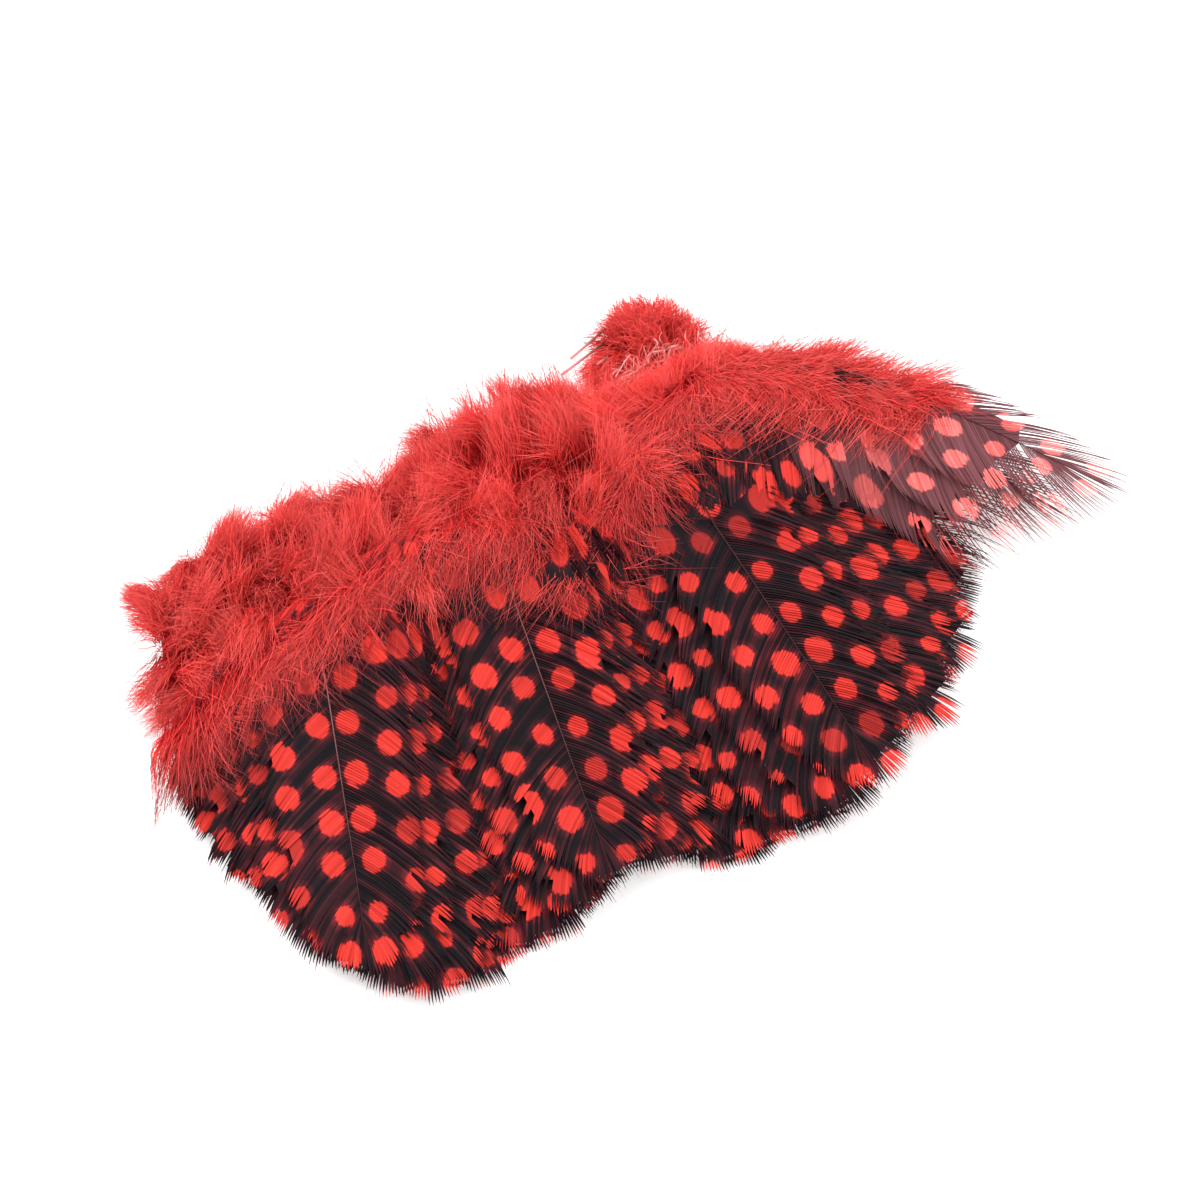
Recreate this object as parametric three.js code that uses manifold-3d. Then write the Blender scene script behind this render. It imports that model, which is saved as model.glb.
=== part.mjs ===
// A strung bunch of dyed guinea fowl body feathers, lying on a table.
// The quills stand side by side on one thread along X. The downy bases press together into a fluffy
// ridge, and the spotted vanes fan out towards -Y in a stack of thin layers, in four lobes.
// Millimetres, +Z up. The origin is on the table under the thread's middle feather.

import * as THREE from "three";
import { mergeVertices } from "three/addons/utils/BufferGeometryUtils.js";
import Module from "manifold-3d";

const wasm = await Module();
wasm.setup();

// The strip
const ridgeFeathers = 41;
const tuftFeathers = 4;
const ridgeLength = 118;
const endSpread = 0.14;
const rightEndBend = 2;
const leftEndTuck = 5;
const tuckedFeathers = 4;
const neighbourGap = 0.32;

// The fan: the feathers' direction in plan, in degrees from +X
const leftDirection = 251;
const directionDrift = 20;
const rightSweep = 38;

// Down: the soft lower half of each feather
const downHeight = 21;
const downFront = 22.5;
const downBack = 11;
const lockDepth = 1.9;
const endRounding = 0.42;
const ridgeLumps = [1.1, 0.93, 0.94, 0.9, 0.96, 1.15, 1.36, 1.4, 1.2, 1, 1, 1, 1];
const footShare = 0.62;
const locks = 5;

// Quill and shaft
const quillReach = 14.5;
const quillThickness = 1.1;
const shaftStart = 6;
const shaftHeight = 5.5;

// Vane: the firm upper half of each feather
const vaneStart = 26;
const vaneHalfWidth = 12;
const leftVaneShare = 0.45;
const rightEdgeShare = 0.6;
const vaneCentreThickness = 0.28;
const vaneEdgeThickness = 0.18;
const featherReach = [31, 46, 72, 84, 79, 77, 73, 74, 78, 76, 62, 46, 53];
const reachVariation = 4;

// The stack of vanes
const layers = 11;
const firstLobeTop = 8;
const stackBase = 2.9;
const stackBaseAtTip = 0.2;
const layerStep = 0.92;
const layerStepAtTip = 0.52;
const longestReach = 84;

// Thread
const threadRadius = 0.7;
const threadHeight = 1.9;
const threadBack = 5;
const threadClearance = 0.9;
const turnSpots = [[34.5, 12.9], [42, 12.8], [51, 13], [58.5, 11.5], [61.5, 8.4], [59.2, 5.9]];

// The tuft at the strip's end, behind the ridge
const tuftX = 37;
const tuftY = 16.9;
const tuftDirection = -6;
const tuftSpacing = 2.8;
const tuftHeight = 14;
const tuftHalfLength = 12.8;

const degree = Math.PI / 180;
const lerp = THREE.MathUtils.lerp;
const clamp = THREE.MathUtils.clamp;

// The same steady variation every time: a number from 0 to 1 for each seed
function vary(seed) {
  const wave = Math.sin(seed * 12.9898) * 43758.5453;
  return wave - Math.floor(wave);
}

// A place along the strip, from 0 at the left feather to 1 at the right one
function share(place) {
  return place / (ridgeFeathers - 1);
}

function direction(place) {
  const u = share(place);
  return (leftDirection + directionDrift * u + rightSweep * Math.max(0, u) ** 5) * degree;
}

function root(place) {
  const t = 2 * share(place) - 1;
  const x = (ridgeLength / 2) * ((1 - endSpread) * t + endSpread * t ** 3);
  const tuck = leftEndTuck * Math.exp(-place / tuckedFeathers);
  return new THREE.Vector2(x + tuck, rightEndBend * Math.max(0, share(place)) ** 6);
}

// The plan position at a place along the strip and a distance out from the thread
function plan(place, out) {
  const angle = direction(place);
  return root(place).add(new THREE.Vector2(Math.cos(angle), Math.sin(angle)).multiplyScalar(out));
}

// How wide one feather's share of the strip is, at a distance out from the thread
function shareWidth(place, out) {
  return plan(place + 0.5, out).distanceTo(plan(place - 0.5, out));
}

// Reads a table of values, taken at even steps along the strip, at any place
function readTable(table, place) {
  const at = clamp(share(place), 0, 1) * (table.length - 1);
  const step = Math.min(Math.floor(at), table.length - 2);
  return lerp(table[step], table[step + 1], at - step);
}

// A feather's length from the thread to its tip
function reach(place) {
  return readTable(featherReach, place) + reachVariation * (vary(place + 0.3) - 0.5);
}

// The layer of a feather's vane in the stack: highest in the middle of each lobe, lowest between
function layer(place) {
  const middle = (layers - 1) / 2;
  const inLobe = (((place - firstLobeTop + middle) % layers) + layers) % layers;
  const aside = inLobe - middle;
  return layers - 1 - 2 * Math.abs(aside) + (aside > 0 ? 1 : 0);
}

function stackHeight(place, out) {
  const t = (out - vaneStart) / (longestReach - vaneStart);
  const base = lerp(stackBase, stackBaseAtTip, t);
  return base + layer(place) * lerp(layerStep, layerStepAtTip, t);
}

// Moves every corner of a geometry and keeps only the corners' positions
function bend(geometry, move) {
  const shape = geometry.clone();
  shape.deleteAttribute("normal");
  shape.deleteAttribute("uv");
  const positions = shape.attributes.position;
  const corner = new THREE.Vector3();
  for (let k = 0; k < positions.count; k += 1) {
    corner.fromBufferAttribute(positions, k);
    const moved = move(corner);
    positions.setXYZ(k, moved.x, moved.y, moved.z);
  }
  return mergeVertices(shape, 1e-4);
}

function solid(geometry) {
  const index = Uint32Array.from(geometry.index.array);
  const corners = Float32Array.from(geometry.attributes.position.array);
  const body = new wasm.Manifold(new wasm.Mesh({ numProp: 3, vertProperties: corners, triVerts: index }));
  if (body.volume() > 0) {
    return body;
  }
  for (let k = 0; k < index.length; k += 3) {
    [index[k], index[k + 1]] = [index[k + 1], index[k]];
  }
  return new wasm.Manifold(new wasm.Mesh({ numProp: 3, vertProperties: corners, triVerts: index }));
}

function geometryOf(body) {
  const mesh = body.getMesh();
  const geometry = new THREE.BufferGeometry();
  geometry.setAttribute("position", new THREE.BufferAttribute(mesh.vertProperties, 3));
  geometry.setIndex(new THREE.BufferAttribute(mesh.triVerts, 1));
  return geometry;
}

// How much smaller the down is at the strip's two ends, which are round
function endScale(place) {
  const fromEnd = Math.min(place, ridgeFeathers - 1 - place);
  return 1 - endRounding * (1 - Math.min(fromEnd / 5, 1)) ** 2;
}

// Side view of one feather's down: a flat foot, a notch for the thread, the quill end and a crown of locks
function downOutline(place, height, front, back, quill) {
  const outline = new THREE.Shape();
  const notchFront = -threadBack + threadRadius + threadClearance;
  const notchBack = -threadBack - threadRadius - threadClearance;
  const notchTop = threadHeight + threadRadius + threadClearance;
  outline.moveTo(front * footShare, 0);
  outline.lineTo(notchFront, 0);
  outline.lineTo(notchFront, notchTop);
  outline.lineTo(notchBack, notchTop);
  outline.lineTo(notchBack, 0);
  outline.lineTo(-back * 0.9, 0);
  outline.lineTo(-back, notchTop);
  outline.lineTo(-quill, notchTop + 0.4);
  outline.lineTo(-quill, notchTop + 0.4 + quillThickness);
  outline.lineTo(-back, notchTop + 0.8 + quillThickness);
  for (let k = 0; k < 2 * locks; k += 1) {
    const turn = lerp(158, 14, (k + 0.5) / (2 * locks)) * degree;
    const inOut = k % 2 === 0 ? 1 : 1 - (lockDepth * (0.7 + 0.6 * vary(place * 7 + k))) / height;
    const side = turn > Math.PI / 2 ? back + 1 : front;
    outline.lineTo(side * Math.cos(turn) * inOut, height * (0.12 + 0.88 * Math.sin(turn)) * inOut);
  }
  outline.lineTo(front * 0.98, height * 0.12);
  outline.closePath();
  return outline;
}

// One feather's down fills its share of the ridge, with a gap to its neighbours
function ridgeDown(place) {
  const size = endScale(place);
  const lump = readTable(ridgeLumps, place);
  const back = Math.max(downBack * size * lump, threadBack + 3.2);
  const height = downHeight * size * (0.5 + 0.5 * lump) * (0.94 + 0.1 * vary(place + 5));
  const front = downFront * (0.5 + 0.5 * size) * (0.94 + 0.1 * vary(place + 9));
  const quill = Math.max(quillReach - 3 * vary(place + 12), back + 1.5);
  const outline = downOutline(place, height, front, back, quill);
  const slab = new THREE.ExtrudeGeometry(outline, { depth: 1, steps: 1, bevelEnabled: false });
  return bend(slab, (corner) => {
    const side = corner.z > 0.5 ? 1 : -1;
    const edge = place + 0.5 * side;
    const angle = direction(edge);
    const inward = new THREE.Vector2(Math.sin(angle), -Math.cos(angle)).multiplyScalar((side * neighbourGap) / 2);
    const spot = plan(edge, corner.x).add(inward);
    return new THREE.Vector3(spot.x, spot.y, corner.y);
  });
}

// Where the box's steps along a feather fall: three on the bare shaft, the rest down the vane
function outAt(step, tip) {
  const shaft = [shaftStart, 19.5, vaneStart];
  const vane = [0.07, 0.22, 0.45, 0.67, 0.84, 0.95, 1];
  return step < shaft.length ? shaft[step] : lerp(vaneStart, tip, vane[step - shaft.length]);
}

// How much of its full width a vane has: the first feathers are narrow, and so are the last ones' back edges
function vaneShare(place, across) {
  const atLeft = lerp(leftVaneShare, 1, Math.min(place / 5, 1));
  return across > 0 ? atLeft * lerp(1, rightEdgeShare, clamp((place - 36) / 3, 0, 1)) : atLeft;
}

// Half the vane's width: narrow at the shaft, full along the middle, round at the tip, notched edges
function halfWidthAt(place, step, out, tip, across) {
  const narrow = 0.3 * shareWidth(place, out);
  const t = clamp((out - vaneStart) / (tip - vaneStart), 0, 1);
  const rounding = Math.min(1, (t / 0.22) ** 0.5) * Math.sqrt(Math.max(0, 1 - t ** 4));
  const full = vaneShare(place, across) * vaneHalfWidth * rounding;
  const notched = full * (step % 2 === 0 ? 0.93 : 1);
  return t <= 0 ? narrow : Math.max(notched, 1.2);
}

function ridgeVane(place) {
  const steps = 9;
  const tip = reach(place);
  const lean = 0.9 * (vary(place + 20) - 0.5);
  const blank = new THREE.BoxGeometry(steps, 2, 1, steps, 2, 1);
  return bend(blank, (corner) => {
    const step = Math.round(corner.x + steps / 2);
    const out = outAt(step, tip);
    const across = Math.round(corner.y);
    const drift = lean * clamp((out - vaneStart) / 50, 0, 1);
    const halfWidth = halfWidthAt(place, step, out, tip, across) / shareWidth(place, out);
    const spot = plan(place + drift + across * halfWidth, out);
    const rise = clamp((out - shaftStart) / (vaneStart - shaftStart), 0, 1);
    const middle = lerp(shaftHeight * endScale(place), stackHeight(place, out), rise);
    const onShaft = out <= vaneStart ? 0.9 : vaneCentreThickness;
    const thickness = across === 0 ? onShaft : Math.min(onShaft, vaneEdgeThickness);
    return new THREE.Vector3(spot.x, spot.y, middle + Math.sign(corner.z) * thickness * 0.5);
  });
}

// The tuft's feathers stand behind the ridge and point to the right, with bare quills to the left
function tuftFeather(k) {
  const away = k - (tuftFeathers - 1) / 2;
  const size = 1 - 0.16 * Math.abs(away);
  const outline = downOutline(k + 60, tuftHeight * size, tuftHalfLength * size, tuftHalfLength * size * 0.8,
    tuftHalfLength * size + 4 + 2 * vary(k + 70));
  const slab = new THREE.ExtrudeGeometry(outline, { depth: 1, steps: 1, bevelEnabled: false });
  return bend(slab, (corner) => {
    const side = corner.z > 0.5 ? 1 : -1;
    const spot = tuftPlan(corner.x, k + side * (0.5 - neighbourGap / tuftSpacing / 2));
    return new THREE.Vector3(spot.x, spot.y, corner.y);
  });
}

// A place in the tuft: along its feathers, and across them counted in feathers from the front one
function tuftPlan(along, across) {
  const angle = tuftDirection * degree;
  const side = across * tuftSpacing;
  const x = tuftX + along * Math.cos(angle) - side * Math.sin(angle);
  return new THREE.Vector2(x, tuftY + along * Math.sin(angle) + side * Math.cos(angle));
}

// The thread comes forward out of the tuft, turns behind the right end and runs left along the ridge, to
// end inside the first feather's down
function threadRoute() {
  const spots = [];
  for (let across = tuftFeathers - 0.2; across > -1; across -= 0.5) {
    spots.push(tuftPlan(-threadBack, across));
  }
  for (const [x, y] of turnSpots) {
    spots.push(new THREE.Vector2(x, y));
  }
  for (let place = ridgeFeathers; place >= 0; place -= 1) {
    spots.push(plan(place, -threadBack));
  }
  return spots.map((spot) => new THREE.Vector3(spot.x, spot.y, threadHeight));
}

function tube(points, steps) {
  const ring = new THREE.Shape();
  ring.absarc(0, 0, threadRadius, 0, 2 * Math.PI);
  const route = new THREE.CatmullRomCurve3(points);
  const geometry = new THREE.ExtrudeGeometry(ring, { steps, extrudePath: route, curveSegments: 3 });
  return bend(geometry, (corner) => corner);
}

const bunch = new THREE.Group();

function addPiece(name, geometry, colour, roughness) {
  const material = new THREE.MeshStandardMaterial({ color: colour, roughness, metalness: 0 });
  const mesh = new THREE.Mesh(geometry, material);
  mesh.name = name;
  bunch.add(mesh);
}

function featherName(number) {
  return `feather_${String(number).padStart(2, "0")}`;
}

for (let place = 0; place < ridgeFeathers; place += 1) {
  const whole = solid(ridgeDown(place)).add(solid(ridgeVane(place)));
  const shade = new THREE.Color(0x9c1e26).lerp(new THREE.Color(0x5a1820), 0.6 * vary(place + 40));
  addPiece(featherName(place + 1), geometryOf(whole), shade, 0.85);
}

for (let k = 0; k < tuftFeathers; k += 1) {
  addPiece(featherName(ridgeFeathers + 1 + k), geometryOf(solid(tuftFeather(k))), 0xd8363c, 0.9);
}

addPiece("thread", geometryOf(solid(tube(threadRoute(), 90))), 0x3a1416, 0.8);

export default bunch;
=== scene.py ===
# %% [markdown]
# # A strung bunch of guinea fowl feathers
#
# The real thing is a short strip of dyed body feathers, tied side by side on a thread. Each feather
# has a soft lower half of loose down and a firm upper half, the vane, of barbs that lie side by side.
# The strip lies on a table: the down makes a fluffy ridge, and the spotted vanes fan out from it.
#
# The solid model already says where every feather lies. This script dresses each one in real barbs:
# thousands of thin ribbons, worked out with numpy arrays, because they repeat far too often to be
# shaped one by one. Everything is written in millimetres and turned into metres at the very end.

# %% Load the solid model
import math

import bmesh
import bpy
import numpy as np
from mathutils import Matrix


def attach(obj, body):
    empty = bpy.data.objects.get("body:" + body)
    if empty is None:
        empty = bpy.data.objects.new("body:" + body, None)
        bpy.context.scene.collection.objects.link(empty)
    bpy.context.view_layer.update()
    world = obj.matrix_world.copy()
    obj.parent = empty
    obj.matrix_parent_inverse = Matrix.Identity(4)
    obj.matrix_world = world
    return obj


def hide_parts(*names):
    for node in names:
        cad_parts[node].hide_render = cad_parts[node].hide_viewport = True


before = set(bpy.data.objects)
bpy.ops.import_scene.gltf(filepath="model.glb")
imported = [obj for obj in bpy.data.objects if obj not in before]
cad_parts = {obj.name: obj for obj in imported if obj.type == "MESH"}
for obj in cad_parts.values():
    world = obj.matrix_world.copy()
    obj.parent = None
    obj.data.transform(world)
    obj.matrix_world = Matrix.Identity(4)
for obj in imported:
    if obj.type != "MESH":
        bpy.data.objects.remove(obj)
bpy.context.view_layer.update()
MM = 0.001

# %% [markdown]
# ## Where the feathers lie
#
# These are the strip's driving sizes. A place is a feather's number along the thread, counted from
# 0 at the left, and it may lie between two feathers. "Out" is the distance from the thread towards
# the tips. Working in places keeps neighbours in order, as the thread does on the real strip.

# %% The strip's sizes
RIDGE_FEATHERS = 41
TUFT_FEATHERS = 4
RIDGE_LENGTH = 118
END_SPREAD = 0.14
RIGHT_END_BEND = 2
LEFT_END_TUCK = 5
TUCKED_FEATHERS = 4
LEFT_DIRECTION = 251
DIRECTION_DRIFT = 20
RIGHT_SWEEP = 38
FEATHER_REACH = [31, 46, 72, 84, 79, 77, 73, 74, 78, 76, 62, 46, 53]
RIDGE_LUMPS = [1.1, 0.93, 0.94, 0.9, 0.96, 1.15, 1.36, 1.4, 1.2, 1, 1, 1, 1]
LAYERS = 11
FIRST_LOBE_TOP = 8
VANE_START = 26
VANE_HALF_WIDTH = 12.0
LEFT_VANE_SHARE = 0.45
RIGHT_EDGE_SHARE = 0.6
STACK_BASE, STACK_BASE_AT_TIP = 2.9, 0.2
LAYER_STEP, LAYER_STEP_AT_TIP = 0.92, 0.52
LONGEST_REACH = 84
END_DROP, END_DROP_FEATHERS = 0.42, 5
DOWN_HEIGHT = 21.0
DOWN_FRONT = 22.5
DOWN_BACK = 12.0
DOWN_EDGE = [24, 20, 17.5, 14, 11, 10, 13, 19.5, 12.5, 5, 1, 8, 17]
WAVE_PACE, WAVE_SIZE = 12.9898, 43758.5453
REACH_RANGE = 4


def vary(seed):
    """A chance between 0 and 1 that is the same on every run."""
    wave = np.sin(np.asarray(seed, float) * WAVE_PACE) * WAVE_SIZE
    return wave - np.floor(wave)


def share(place):
    """Where a place is along the strip, from 0 at the left to 1 at the right."""
    return np.asarray(place, float) / (RIDGE_FEATHERS - 1)


def direction(place):
    """The way a feather points in plan. The last ones sweep round to the right."""
    u = share(place)
    return np.radians(LEFT_DIRECTION + DIRECTION_DRIFT * u + RIGHT_SWEEP * np.maximum(0, u) ** 5)


def root(place):
    """Where a feather crosses the thread. Feathers stand closer in the middle than at the ends."""
    u = share(place)
    t = 2 * u - 1
    x = RIDGE_LENGTH / 2 * ((1 - END_SPREAD) * t + END_SPREAD * t ** 3)
    x = x + LEFT_END_TUCK * np.exp(-np.asarray(place, float) / TUCKED_FEATHERS)
    return np.stack([x, RIGHT_END_BEND * np.maximum(0, u) ** 6], axis=-1)


def plan(place, out):
    """The spot on the table at a place along the strip and a distance out from the thread."""
    angle = direction(place)
    along = np.stack([np.cos(angle), np.sin(angle)], axis=-1)
    return root(place) + along * np.asarray(out, float)[..., None]


def read_table(table, place):
    """A table holds values at even steps along the strip; between them they change evenly."""
    return np.interp(share(place), np.linspace(0, 1, len(table)), table)


def reach(place):
    """A feather's length from the thread to its tip. Neighbours differ a little by chance."""
    return float(read_table(FEATHER_REACH, place) + REACH_RANGE * (vary(place + 0.3) - 0.5))


def layer(place):
    """How high a feather lies in the stack: the top ones are the middles of the lobes."""
    middle = (LAYERS - 1) / 2
    aside = (place - FIRST_LOBE_TOP + middle) % LAYERS - middle
    return LAYERS - 1 - 2 * abs(aside) + (1 if aside > 0 else 0)


def stack_height(level, out):
    """How high a layer lies above the table. Layers lie closer together towards the tips."""
    t = (np.asarray(out, float) - VANE_START) / (LONGEST_REACH - VANE_START)
    base = STACK_BASE + (STACK_BASE_AT_TIP - STACK_BASE) * t
    return base + level * (LAYER_STEP + (LAYER_STEP_AT_TIP - LAYER_STEP) * t)


def end_scale(place):
    """The ridge gets lower towards both ends of the strip."""
    from_end = np.minimum(place, RIDGE_FEATHERS - 1 - place)
    return 1 - END_DROP * (1 - np.clip(from_end / END_DROP_FEATHERS, 0, 1)) ** 2


print("feather lengths:", [round(reach(p)) for p in range(0, RIDGE_FEATHERS, 5)])

# %% [markdown]
# ## The camera and the light
#
# The photograph looks down at about fifty degrees, with the ridge rising to the right. A long lens
# from almost a metre away keeps the perspective as flat as it is there. The floor is white and glows
# a little, and three big soft lamps give the even studio light that leaves hardly any shadow.

# %% Camera
SCENE = bpy.context.scene
LOOK_AZIMUTH = math.radians(-25)
LOOK_ELEVATION = math.radians(50)
LOOK_DISTANCE = 0.95
SENSOR_WIDTH = 36
NEAREST_SEEN = 0.05
FRAME_WIDTH = 0.1846
LOOK_AT = np.array([0.0077, -0.0246, 0.008])

towards_camera = np.array([
    math.sin(LOOK_AZIMUTH) * math.cos(LOOK_ELEVATION),
    -math.cos(LOOK_AZIMUTH) * math.cos(LOOK_ELEVATION),
    math.sin(LOOK_ELEVATION),
])
camera_data = bpy.data.cameras.new("camera")
camera_data.sensor_width = SENSOR_WIDTH
camera_data.lens = SENSOR_WIDTH * LOOK_DISTANCE / FRAME_WIDTH
camera_data.clip_start = NEAREST_SEEN
camera = bpy.data.objects.new("camera", camera_data)
camera.location = LOOK_AT + LOOK_DISTANCE * towards_camera
camera.rotation_euler = (math.pi / 2 - LOOK_ELEVATION, 0, LOOK_AZIMUTH)
SCENE.collection.objects.link(camera)
SCENE.camera = camera
SCENE.view_settings.view_transform = "Standard"
print("lens in mm:", round(camera_data.lens, 1))

# %% Floor and lamps
FLOOR_HALF_WIDTH = 1.5
FLOOR_WHITE = (0.86, 0.86, 0.86, 1)
FLOOR_GLOW = 0.35
DAYLIGHT = 0.75
WHITE = (1, 1, 1, 1)
floor_shape = bmesh.new()
bmesh.ops.create_grid(floor_shape, x_segments=1, y_segments=1, size=FLOOR_HALF_WIDTH)
floor_mesh = bpy.data.meshes.new("floor")
floor_shape.to_mesh(floor_mesh)
floor_shape.free()
floor = bpy.data.objects.new("floor", floor_mesh)
SCENE.collection.objects.link(floor)
floor_material = bpy.data.materials.new("white_paper")
floor_material.use_nodes = True
floor_shader = floor_material.node_tree.nodes["Principled BSDF"]
floor_shader.inputs["Base Color"].default_value = FLOOR_WHITE
floor_shader.inputs["Roughness"].default_value = 0.9
floor_shader.inputs["Emission Color"].default_value = WHITE
floor_shader.inputs["Emission Strength"].default_value = FLOOR_GLOW
floor_mesh.materials.append(floor_material)


def add_lamp(name, place, size, power):
    """A soft square lamp in metres, turned to look at the middle of the strip."""
    data = bpy.data.lights.new(name, "AREA")
    data.size = size
    data.energy = power
    lamp = bpy.data.objects.new(name, data)
    lamp.location = place
    aim = LOOK_AT - np.array(place)
    pitch = math.acos(-aim[2] / np.linalg.norm(aim))
    lamp.rotation_euler = (pitch, 0, math.atan2(-aim[0], aim[1]))
    SCENE.collection.objects.link(lamp)


add_lamp("key_lamp", (-0.55, 0.15, 1.0), 0.7, 12.5)
add_lamp("front_lamp", (0.35, -0.9, 0.9), 0.9, 10)
add_lamp("back_lamp", (0.5, 0.8, 0.7), 0.7, 5)
world = bpy.data.worlds.new("soft_light")
world.use_nodes = True
world.node_tree.nodes["Background"].inputs["Color"].default_value = WHITE
world.node_tree.nodes["Background"].inputs["Strength"].default_value = DAYLIGHT
SCENE.world = world

# %% [markdown]
# ## Ribbons from arrays
#
# A barb is a thin flat ribbon. All barbs of one kind on a feather are made together: their middle
# lines are one array of shape (barbs, steps, 3), with a half width and a sideways direction at every
# step. The same arrays carry what the materials need: a map of where on the feather a point lies,
# for the spots, and a tone of four values, for the change of colour from root to tip and for the
# differences between barbs. On the down, the darker root is painted shade and the paler tip a
# painted highlight.

# %% Ribbons
TINY = 1e-9
POINTED_END = 1e-3


def unit(vectors):
    return vectors / np.maximum(np.linalg.norm(vectors, axis=-1, keepdims=True), TINY)


class FeatherMesh:
    """Collects ribbons and tubes, then makes one mesh of them."""

    def __init__(self):
        self.points = []
        self.quads = []
        self.maps = []
        self.tones = []
        self.slots = []
        self.count = 0

    def add_grid(self, grid, maps, tones, slot, closed=False):
        """Adds sheets of shape (pieces, steps, across, 3), joined up along and across."""
        pieces, steps, across = grid.shape[:3]
        number = np.arange(pieces * steps * across).reshape(pieces, steps, across) + self.count
        following = np.roll(number, -1, axis=2) if closed else number[:, :, 1:]
        here = number if closed else number[:, :, :-1]
        quads = np.stack([here[:, :-1], following[:, :-1], following[:, 1:], here[:, 1:]], axis=-1)
        self.points.append(grid.reshape(-1, 3))
        self.maps.append(np.broadcast_to(maps, grid.shape[:3] + (2,)).reshape(-1, 2))
        self.tones.append(np.broadcast_to(tones, grid.shape[:3] + (4,)).reshape(-1, 4))
        self.quads.append(quads.reshape(-1, 4))
        self.slots.append(np.full(quads.size // 4, slot))
        self.count += number.size

    def add_ribbons(self, lines, half_widths, sideways, maps, tones, slot):
        """lines (n, k, 3), half_widths (n, k), sideways (n, k, 3), maps (n, k, 2), tones (n, k, 4)."""
        offset = sideways * half_widths[..., None]
        grid = np.stack([lines - offset, lines + offset], axis=2)
        maps = np.broadcast_to(maps, lines.shape[:2] + (2,))
        self.add_grid(grid, maps[:, :, None, :], tones[:, :, None, :], slot)

    def add_tube(self, line, radii, sides, tone, slot):
        """A round tube along line (k, 3), with closed ends."""
        tangent = unit(np.gradient(line, axis=0))
        side = unit(np.cross(tangent, np.array([0.0, 0.0, 1.0]) + 1e-4))
        up = np.cross(side, tangent)
        turn = np.linspace(0, 2 * math.pi, sides, endpoint=False)
        ring = side[:, None] * np.cos(turn)[None, :, None] + up[:, None] * np.sin(turn)[None, :, None]
        widths = np.concatenate([[POINTED_END], radii, [POINTED_END]])
        spine = np.concatenate([line[:1], line, line[-1:]])
        rings = np.concatenate([ring[:1], ring, ring[-1:]])
        grid = (spine[:, None] + rings * widths[:, None, None])[None]
        tones = np.zeros(grid.shape[:3] + (4,))
        tones[...] = tone
        tones[..., 1] = np.linspace(0, 1, len(widths))[None, :, None]
        self.add_grid(grid, np.zeros(2), tones, slot, closed=True)

    def make(self, name, materials):
        """Makes the object, in metres, and counts its triangles."""
        mesh = bpy.data.meshes.new(name)
        points = np.concatenate(self.points) * MM
        quads = np.concatenate(self.quads)
        mesh.vertices.add(len(points))
        mesh.vertices.foreach_set("co", points.astype(np.float32).ravel())
        mesh.loops.add(quads.size)
        mesh.loops.foreach_set("vertex_index", quads.astype(np.int32).ravel())
        mesh.polygons.add(len(quads))
        mesh.polygons.foreach_set("loop_start", np.arange(0, quads.size, 4, dtype=np.int32))
        mesh.polygons.foreach_set("material_index", np.concatenate(self.slots).astype(np.int32))
        mesh.polygons.foreach_set("use_smooth", np.ones(len(quads), dtype=bool))
        where = mesh.uv_layers.new(name="place_on_feather")
        where.data.foreach_set("uv", np.concatenate(self.maps)[quads.ravel()].astype(np.float32).ravel())
        tone = mesh.attributes.new("tone", "FLOAT_COLOR", "POINT")
        tone.data.foreach_set("color", np.concatenate(self.tones).astype(np.float32).ravel())
        for material in materials:
            mesh.materials.append(material)
        mesh.update(calc_edges=True)
        piece = bpy.data.objects.new(name, mesh)
        SCENE.collection.objects.link(piece)
        return piece, 2 * len(quads)


# %% [markdown]
# ## Colours
#
# The dye turns everything that was white on the bird a strong red, and leaves what was dark almost
# black. So the down is red from root to tip, and the vane is black with red spots. On the down, a
# darker red at the roots is painted shade and a paler red at the tips a painted highlight. Every
# point of a feather carries a tone: the chance that makes its barb lighter or darker, how far along
# the barb it lies, how deep it is in the fluff, and how firm the vane is there. Materials read these four.

# %% Node helpers


def new_material(name):
    material = bpy.data.materials.new(name)
    material.use_nodes = True
    nodes = material.node_tree.nodes
    return material, nodes, material.node_tree.links, nodes["Principled BSDF"]


def math_node(nodes, links, operation, *values, clamp=False):
    node = nodes.new("ShaderNodeMath")
    node.operation = operation
    node.use_clamp = clamp
    for socket, value in zip(node.inputs, values):
        if isinstance(value, (int, float)):
            socket.default_value = value
        else:
            links.new(value, socket)
    return node.outputs[0]


def mix_colour(nodes, links, factor, first, second, blend="MIX"):
    """The first colour at factor 0; at 1 the second one, or their product with MULTIPLY."""
    node = nodes.new("ShaderNodeMix")
    node.data_type = "RGBA"
    node.blend_type = blend
    for socket, value in zip((node.inputs[0], node.inputs[6], node.inputs[7]), (factor, first, second)):
        if isinstance(value, (int, float, tuple)):
            socket.default_value = value
        else:
            links.new(value, socket)
    return node.outputs[2]


def step_up(nodes, links, value, low, high):
    """A smooth step from 0 at low to 1 at high."""
    node = nodes.new("ShaderNodeMapRange")
    node.interpolation_type = "SMOOTHSTEP"
    node.inputs["From Min"].default_value = low
    node.inputs["From Max"].default_value = high
    links.new(value, node.inputs["Value"])
    return node.outputs["Result"]


def lighten(nodes, links, colour, chance, least, more):
    """Multiplies a colour by a light that goes from least to least + more with the barb's chance."""
    light = math_node(nodes, links, "MULTIPLY_ADD", chance, more, least)
    grey = nodes.new("ShaderNodeCombineColor")
    for socket in grey.inputs[:3]:
        links.new(light, socket)
    return mix_colour(nodes, links, 1.0, colour, grey.outputs[0], "MULTIPLY")


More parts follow.
